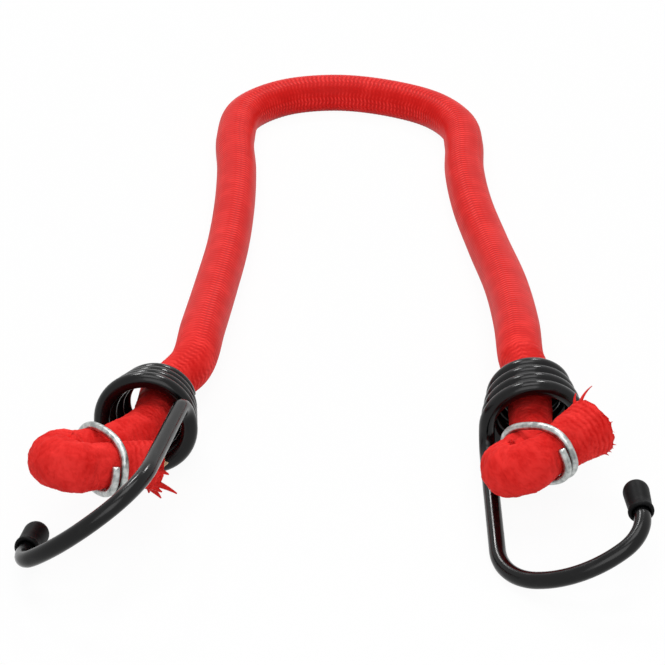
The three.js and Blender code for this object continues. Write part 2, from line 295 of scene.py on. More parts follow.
# Each end in its own frame, in metres: z out of the coil's mouth, x to the side and y up
folds = {
    "left": {
        "neck": [
            (0.0002, -0.0002, -0.0195),
            (0.0007, -0.0002, -0.0095),
            (0.0011, -0.0004, -0.0025),
            (-0.0008, -0.0005, 0.0036),
            (-0.0029, -0.0004, 0.0078),
            (-0.0048, -0.0002, 0.0111),
        ],
        "ringCentre": (-0.0049, 0.0002, 0.0174),
        "loopStart": 0.0036,
        "tip": (-0.745, 0.17, 0.634),
        "outer": (0.653, 0.055, 0.753),
        "tailLength": 0.0095,
        "tailDiameter": 0.0096,
        "tailLift": 0.0012,
        "shankAngle": 37.2,
    },
    "right": {
        "neck": [
            (0, -0.0003, -0.0195),
            (0, -0.0003, -0.0095),
            (-0.0005, -0.0003, -0.0005),
            (-0.0004, 0.0005, 0.0043),
            (-0.0006, 0.0015, 0.0072),
        ],
        "ringCentre": (-0.0007, 0.0043, 0.0134),
        "loopStart": 0.0019,
        "tip": (-0.711, 0.0, 0.666),
        "outer": (0.646, 0.532, 0.545),
        "tailLength": 0.0115,
        "tailDiameter": 0.012,
        "tailLift": 0.0008,
        "shankAngle": 206.5,
    },
}

strandOffset = (cordSizes["pressedThickness"] + cordSizes["strandGap"]) / 2


def endFrame(side):
    swivel = joints[f"{side}_swivel"]
    out = Vector(swivel["axis"]).normalized()
    across = Vector((0, 0, 1)).cross(out).normalized()
    turn = Matrix((across, out.cross(across), out)).transposed()
    return Matrix.Translation(swivel["pos_m"]) @ turn.to_4x4()


def ringFrame(side):
    return endFrame(side) @ Matrix.Translation(folds[side]["ringCentre"])


def foldAxes(fold):
    along = Vector(fold["tip"]).normalized()
    stack = Vector(fold["outer"])
    stack = (stack - along * stack.dot(along)).normalized()
    return along, stack, along.cross(stack)


def endLine(side):
    # points from behind the coil to the cut, each with the cord's thickness, width, slackness and ripples
    fold, size = folds[side], cordSizes
    along, stack, _ = foldAxes(fold)
    place = ringFrame(side)
    thin, wide, reach = size["pressedThickness"], size["pressedWidth"], size["pressReach"]
    gripSlack, foldSlack = knitState["coil"][0], knitState["fold"][0]
    line = []
    for i, point in enumerate(fold["neck"]):
        share = i / (len(fold["neck"]) - 1)
        diameter = mix(size["gripped"], size["neck"], share)
        slack = mix(gripSlack, foldSlack, smoothstep(share, 0.0, 0.9))
        line.append((endFrame(side) @ Vector(point), diameter, diameter, slack, 0.0))
    for back in (reach, 0):
        line.append((place @ (along * -back - stack * strandOffset), thin, wide, *knitState["fold"]))
    for degrees in (0, 45, 90, 135, 180):
        angle = math.radians(degrees)
        swell = math.sin(angle)
        radius = mix(strandOffset, size["loopRadius"], swell)
        bow = along * (fold["loopStart"] + radius * swell) - stack * radius * math.cos(angle)
        thickness = mix(thin, size["loopThickness"], swell)
        line.append((place @ bow, thickness, mix(wide, size["loopWidth"], swell), *knitState["fold"]))
    for back in (0, reach):
        line.append((place @ (along * -back + stack * strandOffset), thin, wide, *knitState["tailInRing"]))
    for share in (0.5, 1):
        drop = along * -mix(reach, fold["tailLength"], share)
        lift = stack * (strandOffset + fold["tailLift"] * share)
        diameter = mix(wide, fold["tailDiameter"], share)
        line.append((place @ (drop + lift), diameter, diameter, *knitState["tail"]))
    return line


leftLine = list(reversed(endLine("left")))
rightLine = endLine("right")
restHeight = cordSizes["diameter"] / 2 - cordSizes["flat"]
onFloor = []
for point in leftLegRoute + bendRoute + rightLegRoute:
    atCoil = point in (leftLegRoute[0], rightLegRoute[-1])
    diameter = cordSizes["entering" if atCoil else "diameter"]
    state = knitState["coil" if atCoil else "taut"]
    onFloor.append((Vector(point) + Vector((0, 0, restHeight)), diameter, diameter, *state))
cordLine = leftLine + onFloor + rightLine

# Places along the cord where one stretch ends and the next begins
leftCoil = len(leftLine) - 1
bendStart = leftCoil + 1 + len(leftLegRoute)
bendEnd = bendStart + len(bendRoute) - 1
rightCoil = bendEnd + 1 + len(rightLegRoute)
rightTail = len(cordLine) - 1


def pointOnCord(place):
    # a smooth curve through the points that neither loops nor overshoots between them
    span = min(int(place), rightTail - 1)
    t = place - span
    p1, p2 = cordLine[span][0], cordLine[span + 1][0]
    p0 = cordLine[span - 1][0] if span > 0 else 2 * p1 - p2
    p3 = cordLine[span + 2][0] if span + 2 <= rightTail else 2 * p2 - p1
    k0, k1, k2 = (math.sqrt((b - a).length) for a, b in ((p0, p1), (p1, p2), (p2, p3)))
    leave = ((p1 - p0) / k0 - (p2 - p0) / (k0 + k1) + (p2 - p1) / k1) * k1
    meet = ((p2 - p1) / k1 - (p3 - p1) / (k1 + k2) + (p3 - p2) / k2) * k1
    return (p1 * (2 * t**3 - 3 * t**2 + 1) + leave * (t**3 - 2 * t**2 + t)
            + p2 * (3 * t**2 - 2 * t**3) + meet * (t**3 - t**2))


def stretchOfCord(start, end):
    # points along a stretch and, at each, the half thickness, the widening, the slackness and the ripples
    points, values = [], {"halfThickness": [], "widening": [], "slack": [], "ripple": []}
    for i in range((end - start) * cordSizes["stepsPerSpan"] + 1):
        place = start + i / cordSizes["stepsPerSpan"]
        span = min(int(place), rightTail - 1)
        share = smoothstep(place - span, 0, 1)
        here, there = cordLine[span][1:], cordLine[span + 1][1:]
        thick, wide, slack, ripple = (mix(a, b, share) for a, b in zip(here, there))
        points.append(pointOnCord(place))
        values["halfThickness"].append(thick / 2)
        values["widening"].append(wide / thick - 1)
        values["slack"].append(slack)
        values["ripple"].append(ripple)
    return points, values


def lengthOf(points):
    return sum((b - a).length for a, b in zip(points, points[1:]))


# Mesh making

def showMesh(name, mesh):
    piece = bpy.data.objects.new(name, mesh)
    bpy.context.scene.collection.objects.link(piece)
    return piece


def newPiece(name, corners, edges, faces, values=None):
    # a mesh whose points carry named values
    mesh = bpy.data.meshes.new(name)
    mesh.from_pydata(corners, edges, faces)
    for key, numbers in (values or {}).items():
        mesh.attributes.new(key, "FLOAT", "POINT").data.foreach_set("value", numbers)
    return showMesh(name, mesh)


def pathObject(name, points, values=None):
    return newPiece(name, points, [(i, i + 1) for i in range(len(points) - 1)], [], values)


def modifiedMesh(piece):
    graph = bpy.context.evaluated_depsgraph_get()
    return bpy.data.meshes.new_from_object(piece.evaluated_get(graph), preserve_all_data_layers=True,
                                           depsgraph=graph)


def grow(tree, host, values, name):
    # runs a node tree on a host object and keeps the result as a plain mesh under a new name
    modifier = host.modifiers.new(tree.name, "NODES")
    modifier.node_group = tree
    sockets = {item.name: item.identifier for item in tree.interface.items_tree if item.in_out == "INPUT"}
    for socket, value in values.items():
        modifier[sockets[socket]] = value
    bpy.context.view_layer.update()
    mesh = modifiedMesh(host)
    bpy.data.objects.remove(host)
    mesh.name = name
    return showMesh(name, mesh)


def applyModifiers(piece):
    mesh = modifiedMesh(piece)
    piece.modifiers.clear()
    piece.data = mesh
    mesh.name = piece.name


def numbersOf(items, key, kind):
    numbers = np.empty(len(items), kind)
    items.foreach_get(key, numbers)
    return numbers


def layUv(mesh, girth):
    # a map in millimetres: across is the way round the piece, up is the way along it
    along = numbersOf(mesh.attributes["along"].data, "value", np.float32)
    around = numbersOf(mesh.attributes["around"].data, "value", np.float32)
    corners = numbersOf(mesh.loops, "vertex_index", np.int32)
    starts = numbersOf(mesh.polygons, "loop_start", np.int32)
    u = around[corners]
    widest = np.maximum.reduceat(u, starts) - np.minimum.reduceat(u, starts)
    sizes = np.diff(np.append(starts, len(corners)))
    wraps = np.repeat(widest > 0.5, sizes) & (u < 0.5)
    u = (u + wraps) * girth / mm
    v = along[corners] / mm
    layer = mesh.uv_layers.new(name="alongAround")
    layer.data.foreach_set("uv", np.stack([u, v], 1).ravel().astype(np.float32))


def finishPiece(piece, slotName, girth=None):
    sharpAngle = 70
    mesh = piece.data
    if girth:
        layUv(mesh, girth)
    mesh.materials.clear()
    mesh.materials.append(finishes[slotName])
    mesh.shade_smooth()
    mesh.set_sharp_from_angle(angle=math.radians(sharpAngle))


def spokesOf(sides):
    return [(math.cos(fullTurn * j / sides), math.sin(fullTurn * j / sides)) for j in range(sides)]


def joinRings(low, high, sides):
    # faces between two rings, each given by the number of its first point
    return [(low + j, low + (j + 1) % sides, high + (j + 1) % sides, high + j) for j in range(sides)]


def turnOver(faces, shift=0):
    # the same faces on points further down the list, seen from their other side
    return [(a + shift, d + shift, c + shift, b + shift) for a, b, c, d in faces]


def sweptTube(name, points, radii, sides, bore=0.0):
    # a closed tube along points, solid or with an open bore
    count = len(points)
    ways = [(points[min(i + 1, count - 1)] - points[max(i - 1, 0)]).normalized() for i in range(count)]
    side = ways[0].orthogonal().normalized()
    along = 0.0
    outer, inner, lengths = [], [], []
    for i, point in enumerate(points):
        side = (side - ways[i] * side.dot(ways[i])).normalized()
        up = ways[i].cross(side)
        along += (point - points[i - 1]).length if i else 0.0
        lengths += [along] * sides
        for x, y in spokesOf(sides):
            spoke = side * x + up * y
            outer.append(point + spoke * radii[i])
            inner.append(point + spoke * bore)
    last = (count - 1) * sides
    faces = []
    for ring in range(0, last, sides):
        faces += joinRings(ring, ring + sides, sides)
    layers = 1
    if bore:
        layers = 2
        within = len(outer)
        faces += turnOver(faces, within)
        faces += turnOver(joinRings(0, within, sides)) + joinRings(last, within + last, sides)
        outer += inner
    else:
        faces.append(tuple(reversed(range(sides))))
        faces.append(tuple(range(last, last + sides)))
    turns = [j / sides for j in range(sides)] * count
    return newPiece(name, outer, [], faces, {"along": lengths * layers, "around": turns * layers})


def latheShell(name, profile, place, segments):
    # turns a profile of (radius, height) that starts and ends on the axis
    corners = [place @ Vector((0, 0, profile[0][1]))]
    for radius, height in profile[1:-1]:
        corners += [place @ Vector((radius * x, radius * y, height)) for x, y in spokesOf(segments)]
    corners.append(place @ Vector((0, 0, profile[-1][1])))
    end = len(corners) - 1
    top = end - segments
    faces = []
    for j in range(segments):
        k = (j + 1) % segments
        faces += [(0, 1 + k, 1 + j), (top + j, top + k, end)]
    for ring in range(1, top, segments):
        faces += joinRings(ring, ring + segments, segments)
    return newPiece(name, corners, [], faces)


# Node trees

def startTree(name, sockets):
    # a tree that takes a line of points as a curve, its sides kept level
    tree = bpy.data.node_groups.new(name, "GeometryNodeTree")
    tree.interface.new_socket("Geometry", in_out="INPUT", socket_type="NodeSocketGeometry")
    for kind, names in sockets.items():
        for socket in names:
            tree.interface.new_socket(socket, in_out="INPUT", socket_type="NodeSocket" + kind)
    tree.interface.new_socket("Geometry", in_out="OUTPUT", socket_type="NodeSocketGeometry")
    add = functools.partial(addNode, tree)
    given = add("NodeGroupInput").outputs
    line = add("GeometryNodeMeshToCurve", {"Mesh": given["Geometry"]})
    level = add("GeometryNodeSetCurveNormal", {"Curve": line}, mode="Z_UP")
    return tree, add, functools.partial(addMath, add), given, level


def endTree(add, geometry, material):
    whole = add("GeometryNodeRealizeInstances", {"Geometry": geometry})
    dressed = add("GeometryNodeSetMaterial", {"Geometry": whole, "Material": material})
    add("NodeGroupOutput", {"Geometry": dressed})


def knittedSheathTree():
    # a tube along the path, pressed where it is crimped and raised into leaning ribs in lengthwise columns
    # the last three are the shares of painted shade from ripples and creases, and how much lighter slack
    # knit is drawn
    knit = {"creaseWidth": 0.07, "rippleSwing": 2.2, "tattersPerMetre": 700.0,
            "rippleShade": 0.12, "creaseShade": 0.17, "slackShade": 0.34}
    tree, add, calc, given, line = startTree("knittedSheath", {
        "Int": ["Sides", "Wales", "Bands"],
        "Float": ["Ring spacing", "Start length", "Rib pitch", "Rib lean", "Rib height", "Rib shade",
                  "Between bands", "Wale groove", "Slack knit", "Wrinkle depth", "Wrinkle size",
                  "Crease depth", "Crease size", "Ripple height", "Ripple pitch",
                  "Ragged from", "Ragged to", "Ragged depth"],
        "Vector": ["Across"],
        "Bool": ["Closed ends"],
        "Material": ["Material"],
    })

    def waveOf(shape, turns):
        return calc(shape, calc("MULTIPLY", turns, fullTurn))

    path = add("GeometryNodeResampleCurve", {"Curve": line, "Length": given["Ring spacing"]}, mode="LENGTH")
    spline = add("GeometryNodeSplineParameter").outputs
    length = calc("ADD", spline["Length"], given["Start length"])
    tangent = add("GeometryNodeInputTangent")
    place = add("GeometryNodeInputPosition")
    kinds = dict.fromkeys(("halfThickness", "widening", "slack", "ripple", "along", "around"), "FLOAT")
    kinds.update(dict.fromkeys(("lengthways", "middle"), "FLOAT_VECTOR"))
    for name, field in (("along", length), ("lengthways", tangent), ("middle", place)):
        path = add("GeometryNodeStoreNamedAttribute", data_type=kinds[name],
                   inputs={"Geometry": path, "Name": name, "Value": field})
    circle = add("GeometryNodeCurvePrimitiveCircle", {"Resolution": given["Sides"], "Radius": 1.0})
    circle = add("GeometryNodeStoreNamedAttribute",
                 {"Geometry": circle, "Name": "around", "Value": spline["Factor"]})
    carried = {name: add("GeometryNodeInputNamedAttribute", {"Name": name}, data_type=kind)
               for name, kind in kinds.items()}
    tube = add("GeometryNodeCurveToMesh",
               {"Curve": path, "Profile Curve": circle, "Scale": carried["halfThickness"],
                "Fill Caps": given["Closed ends"]})

    # the crimped part is squeezed thin and spreads sideways
    spoke = add("ShaderNodeVectorMath", {0: place, 1: carried["middle"]}, operation="SUBTRACT")
    sideways = add("ShaderNodeVectorMath", {0: spoke, 1: given["Across"]}, operation="DOT_PRODUCT")
    across = sideways.outputs["Value"]
    spread = calc("MULTIPLY", across, carried["widening"])
    spread = add("ShaderNodeVectorMath", {0: given["Across"], "Scale": spread}, operation="SCALE")
    pressed = add("GeometryNodeSetPosition", {"Geometry": tube, "Offset": spread})

    # ribs lean one way and then the other across each wale, stand out more in lengthwise bands, and slacken
    # where the cord is folded
    wale = calc("MULTIPLY", carried["around"], given["Wales"])
    fold = calc("PINGPONG", wale, 0.5)
    lean = calc("MULTIPLY", fold, given["Rib lean"])
    course = calc("DIVIDE", carried["along"], given["Rib pitch"])
    course = calc("ADD", course, lean)
    stitch = waveOf("COSINE", course)
    crown = calc("ABSOLUTE", waveOf("SINE", wale))
    crown = addRange(add, crown, target=(given["Wale groove"], 1.0))
    band = calc("MULTIPLY", carried["around"], given["Bands"])
    band = addRange(add, waveOf("COSINE", band), (-1.0, 1.0), (given["Between bands"], 1.0))
    tautness = addRange(add, carried["slack"], target=(1.0, given["Slack knit"]))
    for factor in (crown, band, tautness):
        stitch = calc("MULTIPLY", stitch, factor)
    raised = calc("MULTIPLY", stitch, given["Rib height"])

    # soft lumps and thin creases where the cord is folded, and ripples across its tail
    fineness = calc("DIVIDE", 1.0, given["Wrinkle size"])
    lumps = add("ShaderNodeTexNoise", {"Scale": fineness, "Detail": 3.0})
    lump = calc("SUBTRACT", lumps, 0.5)
    for factor in (carried["slack"], given["Wrinkle depth"]):
        lump = calc("MULTIPLY", lump, factor)
    fineness = calc("DIVIDE", 1.0, given["Crease size"])
    veins = add("ShaderNodeTexNoise", {"Scale": fineness, "Detail": 3.0, "Roughness": 0.6})
    vein = calc("SUBTRACT", veins, 0.5)
    vein = calc("ABSOLUTE", vein)
    crease = addRange(add, vein, (0.0, knit["creaseWidth"]), (-1.0, 0.0), interpolation_type="SMOOTHSTEP")
    crease = calc("MULTIPLY", crease, carried["slack"])
    swing = calc("MULTIPLY", lumps, knit["rippleSwing"])
    wave = calc("DIVIDE", carried["along"], given["Ripple pitch"])
    wave = calc("ADD", wave, swing)
    wave = calc("MULTIPLY", waveOf("SINE", wave), carried["ripple"])
    relief = lump
    for part, depth in ((wave, given["Ripple height"]), (crease, given["Crease depth"])):
        relief = calc("MULTIPLY_ADD", part, depth, relief)
    relief = calc("ADD", raised, relief)
    normal = add("GeometryNodeInputNormal")
    outward = add("ShaderNodeVectorMath", {0: normal, "Scale": relief}, operation="SCALE")

    # a cut edge that runs in and out
    nearCut = addRange(add, carried["along"], (given["Ragged from"], given["Ragged to"]))
    tatters = add("ShaderNodeTexNoise", {"Scale": knit["tattersPerMetre"], "Detail": 3.0})
    tatter = calc("SUBTRACT", tatters, 0.5)
    for factor in (given["Ragged depth"], nearCut):
        tatter = calc("MULTIPLY", tatter, factor)
    lengthwise = add("ShaderNodeVectorMath", {0: carried["lengthways"], "Scale": tatter}, operation="SCALE")
    move = add("ShaderNodeVectorMath", {0: outward, 1: lengthwise}, operation="ADD")

    # painted light: rib and ripple crests are painted lighter, gaps between ribs, ripple troughs and creases
    # are painted with shade, and slack knit is drawn lighter
    shade = calc("MULTIPLY", stitch, given["Rib shade"])
    for part, share in ((wave, "rippleShade"), (crease, "creaseShade"), (carried["slack"], "slackShade")):
        shade = calc("MULTIPLY_ADD", part, knit[share], shade)
    shade = calc("MULTIPLY_ADD", shade, 0.5, 0.5)
    shaded = add("GeometryNodeStoreNamedAttribute",
                 {"Geometry": pressed, "Name": "knitShade", "Value": shade})
    knitted = add("GeometryNodeSetPosition", {"Geometry": shaded, "Offset": move})

    # the underside lies flat on the floor
    parts = add("ShaderNodeSeparateXYZ", {0: place}).outputs
    height = calc("MAXIMUM", parts["Z"], 0.0)
    lying = add("ShaderNodeCombineXYZ", {"X": parts["X"], "Y": parts["Y"], "Z": height})
    settled = add("GeometryNodeSetPosition", {"Geometry": knitted, "Position": lying})
    endTree(add, settled, given["Material"])
    return tree


def latexStrandsTree():
    # a bundle of round threads drawn along the path, packed like seeds in a flower head
    goldenAngle = 2.39996
    tree, add, calc, given, line = startTree("latexStrands", {
        "Int": ["Strands", "Strand sides"],
        "Float": ["Strand share", "Ring spacing"],
        "Material": ["Material"],
    })
    index = add("GeometryNodeInputIndex")
    turn = calc("MULTIPLY", index, goldenAngle)
    share = calc("ADD", index, 0.5)
    share = calc("DIVIDE", share, given["Strands"])
    share = calc("SQRT", share)
    room = calc("SUBTRACT", 1.0, given["Strand share"])
    reach = calc("MULTIPLY", share, room)
    spoke = add("ShaderNodeCombineXYZ", {"X": reach})
    spot = add("ShaderNodeVectorRotate", {"Vector": spoke, "Angle": turn}, rotation_type="Z_AXIS")
    spots = add("GeometryNodePoints", {"Count": given["Strands"], "Position": spot})
    thread = add("GeometryNodeCurvePrimitiveCircle",
                 {"Resolution": given["Strand sides"], "Radius": given["Strand share"]})
    threads = add("GeometryNodeInstanceOnPoints", {"Points": spots, "Instance": thread})
    profile = add("GeometryNodeRealizeInstances", {"Geometry": threads})
    path = add("GeometryNodeResampleCurve", {"Curve": line, "Length": given["Ring spacing"]}, mode="LENGTH")
    bore = add("GeometryNodeInputNamedAttribute", {"Name": "bore"}, data_type="FLOAT")
    bundle = add("GeometryNodeCurveToMesh",
                 {"Curve": path, "Profile Curve": profile, "Scale": bore, "Fill Caps": True})
    endTree(add, bundle, given["Material"])
    return tree


def frayedYarnTree():
    # loose filaments that stand out of a cut rim, longer in some places than in others
    yarn = {"stray": 0.6, "clumps": (0.4, 0.65), "betweenClumps": 0.25, "shortest": 0.4,
            "middle": (0, 0, 0.6), "tip": (0.3, 0.1, 1), "tipShare": 0.2, "steps": 6, "sides": 6,
            "shade": 0.6}
    tree, add, calc, given, line = startTree("frayedYarn", {
        "Int": ["Filaments", "Seed"],
        "Float": ["Longest", "Filament radius", "Spread", "Clump size"],
        "Vector": ["Centre", "Axis"],
        "Material": ["Material"],
    })
    rim = add("GeometryNodeCurveToPoints", {"Curve": line, "Count": given["Filaments"]})
    place = add("GeometryNodeInputPosition")
    radial = add("ShaderNodeVectorMath", {0: place, 1: given["Centre"]}, operation="SUBTRACT")
    radial = add("ShaderNodeVectorMath", {0: radial}, operation="NORMALIZE")
    radial = add("ShaderNodeVectorMath", {0: radial, "Scale": given["Spread"]}, operation="SCALE")
    stray = add("FunctionNodeRandomValue", data_type="FLOAT_VECTOR",
                inputs={0: [-yarn["stray"]] * 3, 1: [yarn["stray"]] * 3, "Seed": given["Seed"]})
    lean = radial
    for part in (given["Axis"], stray):
        lean = add("ShaderNodeVectorMath", {0: lean, 1: part}, operation="ADD")
    aim = add("FunctionNodeAlignRotationToVector", {"Vector": lean}, axis="Z")
    fineness = calc("DIVIDE", 1.0, given["Clump size"])
    clumps = add("ShaderNodeTexNoise", {"Scale": fineness, "Detail": 1.0})
    size = addRange(add, clumps, yarn["clumps"], (yarn["betweenClumps"], 1.0))
    chance = add("FunctionNodeRandomValue", data_type="FLOAT",
                 inputs={2: yarn["shortest"], 3: 1.0, "Seed": given["Seed"]})
    for factor in (chance.outputs[1], given["Longest"]):
        size = calc("MULTIPLY", size, factor)
    curl = add("GeometryNodeCurveQuadraticBezier",
               {"Resolution": yarn["steps"], "Start": (0, 0, 0), "Middle": yarn["middle"],
                "End": yarn["tip"]})
    filaments = add("GeometryNodeInstanceOnPoints",
                    {"Points": rim, "Instance": curl, "Rotation": aim, "Scale": size})
    lines = add("GeometryNodeRealizeInstances", {"Geometry": filaments})
    spline = add("GeometryNodeSplineParameter").outputs
    taper = addRange(add, spline["Factor"], target=(1.0, yarn["tipShare"]))
    section = add("GeometryNodeCurvePrimitiveCircle",
                  {"Resolution": yarn["sides"], "Radius": given["Filament radius"]})
    tufts = add("GeometryNodeCurveToMesh",
                {"Curve": lines, "Profile Curve": section, "Scale": taper, "Fill Caps": True})
    bright = add("GeometryNodeStoreNamedAttribute",
                 {"Geometry": tufts, "Name": "knitShade", "Value": yarn["shade"]})
    endTree(add, bright, given["Material"])
    return tree


sheathTree = knittedSheathTree()
strandsTree = latexStrandsTree()
frayTree = frayedYarnTree()
print("node trees made")


# Camera, at the photograph's angle

cameraSettings = {
    "lens": 117.15,
    "sensorWidth": 36,
    "position": (-0.0007, -0.5423, 0.2533),
    "target": (-0.0007, -0.1208, 0.0),
}


def aimAt(thing, position, target):
    # stands a camera or a lamp at a place, pointing at another
    thing.location = position
    thing.rotation_euler = (Vector(target) - Vector(position)).to_track_quat("-Z", "Y").to_euler()
    bpy.context.scene.collection.objects.link(thing)


cameraData = bpy.data.cameras.new("camera")
cameraData.lens = cameraSettings["lens"]
cameraData.sensor_width = cameraSettings["sensorWidth"]
camera = bpy.data.objects.new("camera", cameraData)
aimAt(camera, cameraSettings["position"], cameraSettings["target"])
bpy.context.scene.camera = camera
print("camera placed")


# Cord: one knitted sheath in five stretches

sheathSettings = {
    "Ring spacing": 0.12 * mm,
    "Sides": 72,
    "Closed ends": True,
    "Across": (0.0, 0.0, 1.0),
    "Wales": 12,
    "Rib pitch": 1.2 * mm,
    "Rib lean": 0.9,
    "Rib height": 0.055 * mm,
    # how strongly rib crests are painted lighter and the gaps between them painted with shade
    "Rib shade": 0.75,
    "Bands": 5,
    "Between bands": 0.2,
    "Wale groove": 0.1,
    "Slack knit": 0.1,
    "Wrinkle depth": 0.0,
    "Wrinkle size": 6.0 * mm,
    "Crease depth": 0.0,
    "Crease size": 5.0 * mm,
    "Ripple height": 0.0,
    "Ripple pitch": 1.1 * mm,
    "Ragged from": 10.0,           # past the end of the cord, so that only a cut end is ragged
    "Ragged to": 11.0,
    "Ragged depth": 0.0,
    "Material": finishes["sheath"],
}
cordGirth = math.pi * cordSizes["diameter"]


def sheathPiece(name, start, end, **changes):
    points, values = stretchOfCord(start, end)
    startLength = lengthOf(stretchOfCord(0, start)[0]) if start else 0.0
    settings = {**sheathSettings, "Start length": startLength, **changes}
    return grow(sheathTree, pathObject(name + "Path", points, values), settings, name), points, values


bend, bendPath, _ = sheathPiece("cordBendSheath", bendStart, bendEnd)
finishPiece(bend, "sheath", cordGirth)
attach(bend, "cord_bend")
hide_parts("cord_bend_sheath", "cord_bend_rubber_core")

legs = {"left": (leftCoil, bendStart), "right": (bendEnd, rightCoil)}
for side, (start, end) in legs.items():
    leg, legPath, _ = sheathPiece(side + "LegSheath", start, end)
    finishPiece(leg, "sheath", cordGirth)
    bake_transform(leg)
    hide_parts(side + "_leg_sheath", side + "_leg_rubber_core")
    print(side, "leg of", round(lengthOf(legPath) / mm, 1), "mm")


# Folded ends: lumpy sheath, open cut, latex strands, loose filaments and thicker tufts of yarn

endSettings = {
    "wall": 1.0 * mm,
    "boreWalls": 1.35,             # how many walls deep under the surface the strands begin
    "raggedLength": 2.5 * mm,
    "strandRecess": 0.9 * mm,
    "rimRecess": 0.8 * mm,
    "rimSteps": 48,
}
endKnit = {
    "Closed ends": False,
    "Wrinkle depth": 1.1 * mm,
    "Wrinkle size": 3.2 * mm,
    "Crease depth": 0.1 * mm,
    "Crease size": 2.2 * mm,
    "Ripple height": 0.04 * mm,
    "Ragged depth": 2.0 * mm,
}
strandSettings = {
    "Strands": 22,
    "Strand share": 0.17,
    "Strand sides": 8,
    "Ring spacing": 1.0 * mm,
    "Material": finishes["core"],
}
# Each kind of loose yarn stands on an arc of the cut rim, in degrees: 0 is level, 90 is the top
filaments = {"arc": (0, 360), "Filaments": 160, "Longest": 1.5 * mm, "Spread": 0.5, "Clump size": 3.0 * mm,
             "Seed": 7, "Filament radius": 0.08 * mm}       # coarser than the real 0.03 mm so that it shows
loose = {"Spread": 0.9, "Clump size": 2.0 * mm}
fraySettings = {
    "left": {
        "Filaments": filaments,
        "Tufts": {**loose, "arc": (160, 310), "Filaments": 8, "Longest": 5.0 * mm, "Seed": 3,
                  "Filament radius": 0.75 * mm},
    },
    "right": {
        "Filaments": filaments,
        "Tufts": {**loose, "arc": (10, 80), "Filaments": 5, "Longest": 5.0 * mm, "Seed": 5,
                  "Filament radius": 0.45 * mm},
        "Wisps": {**loose, "arc": (120, 300), "Filaments": 16, "Longest": 3.0 * mm, "Seed": 2,
                  "Filament radius": 0.24 * mm},
    },
}
wholeLength = lengthOf(stretchOfCord(0, rightTail)[0])
for side, start, end in (("left", 0, leftCoil), ("right", rightCoil, rightTail)):
    cut = 0.0 if side == "left" else wholeLength
    inward = 1 if side == "left" else -1
    foldAcross = endFrame(side).to_3x3() @ foldAxes(folds[side])[2]
    endChanges = {**endKnit, "Across": tuple(foldAcross), "Ragged to": cut,
                  "Ragged from": cut + inward * endSettings["raggedLength"]}
    sheath, path, values = sheathPiece(side + "EndSheath", start, end, **endChanges)
    wall = sheath.modifiers.new("wall", "SOLIDIFY")
    wall.thickness = endSettings["wall"]
    wall.offset = -1
    applyModifiers(sheath)
    finishPiece(sheath, "sheath", cordGirth)
    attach(sheath, side + "_end")
    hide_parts(side + "_end_sheath")

    bores = [half - endSettings["boreWalls"] * endSettings["wall"] for half in values["halfThickness"]]
    if side == "left":
        path.reverse()
        bores.reverse()
    tail = path[-1]
    outward = (path[-1] - path[-2]).normalized()
    path[-1] = tail - outward * endSettings["strandRecess"]
    corePath = pathObject(side + "CorePath", path, {"bore": bores})
    strands = grow(strandsTree, corePath, strandSettings, side + "EndStrands")
    finishPiece(strands, "core")
    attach(strands, side + "_end")
    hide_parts(side + "_end_rubber_core")

    level = Vector((0, 0, 1)).cross(outward).normalized()
    over = outward.cross(level)
    rimRadius = (folds[side]["tailDiameter"] - endSettings["wall"]) / 2
    rimMiddle = tail - outward * endSettings["rimRecess"]
    steps = endSettings["rimSteps"]
    for kind, settings in fraySettings[side].items():
        angles = [math.radians(mix(*settings["arc"], i / steps)) for i in range(steps + 1)]
        rim = [rimMiddle + (level * math.cos(a) + over * math.sin(a)) * rimRadius for a in angles]
        frayInputs = {socket: value for socket, value in settings.items() if socket != "arc"}
        frayInputs.update({"Centre": tuple(tail), "Axis": tuple(outward), "Material": finishes["sheath"]})
        fray = grow(frayTree, pathObject(side + "Rim", rim), frayInputs, side + "Yarn" + kind)
        finishPiece(fray, "sheath")
        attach(fray, side + "_end")
    print(side, "end of", round(lengthOf(path) / mm, 1), "mm")


# Crimp rings: an oval turn of galvanised wire round both strands of each fold

ringSettings = {
    "wire": 1.6 * mm,
    "clearance": 0.35 * mm,
    "overlap": 9 * mm,
    "turn": 3 * mm,                # how far round the oval the middle of the overlap lies
    "roundness": 0.8,
    "ovalSteps": 720,
    "steps": 120,
    "sides": 16,
    "chamfer": 0.22 * mm,
}


def ringPath(side):
    # a rounded oval that the wire goes round once and a little more, climbing as it goes
    ring = ringSettings
    along, stack, across = foldAxes(folds[side])
    roundness, ovalSteps = ring["roundness"], ring["ovalSteps"]
    room = ring["clearance"] + ring["wire"] / 2
    high = strandOffset + cordSizes["pressedThickness"] / 2 + room
    wide = cordSizes["pressedWidth"] / 2 + room
    oval = []
    for i in range(ovalSteps + 1):
        angle = fullTurn * i / ovalSteps
        up = high * math.copysign(abs(math.cos(angle)) ** roundness, math.cos(angle))
        sideways = wide * math.copysign(abs(math.sin(angle)) ** roundness, math.sin(angle))
        oval.append(stack * up + across * sideways)
    gone = [0.0]
    for a, b in zip(oval, oval[1:]):
        gone.append(gone[-1] + (b - a).length)
    around = gone[-1]
    length = around + ring["overlap"]
    rise = ring["wire"] + ring["clearance"]
    place = ringFrame(side)
    points = []
    for i in range(ring["steps"] + 1):
        share = i / ring["steps"]
        distance = (length * share - ring["overlap"] / 2 - ring["turn"]) % around
        k = min(bisect.bisect_right(gone, distance), len(gone) - 1)
        part = (distance - gone[k - 1]) / (gone[k] - gone[k - 1])
        climb = rise * (share - 0.5) * length / around
        points.append(place @ (oval[k - 1].lerp(oval[k], part) + along * climb))
    return points


def chamferedEnds(points, radius, chamfer):
    first = points[0] + (points[1] - points[0]).normalized() * chamfer
    last = points[-1] + (points[-2] - points[-1]).normalized() * chamfer
    line = [points[0], first] + points[1:-1] + [last, points[-1]]
    return line, [radius - chamfer] + [radius] * (len(line) - 2) + [radius - chamfer]


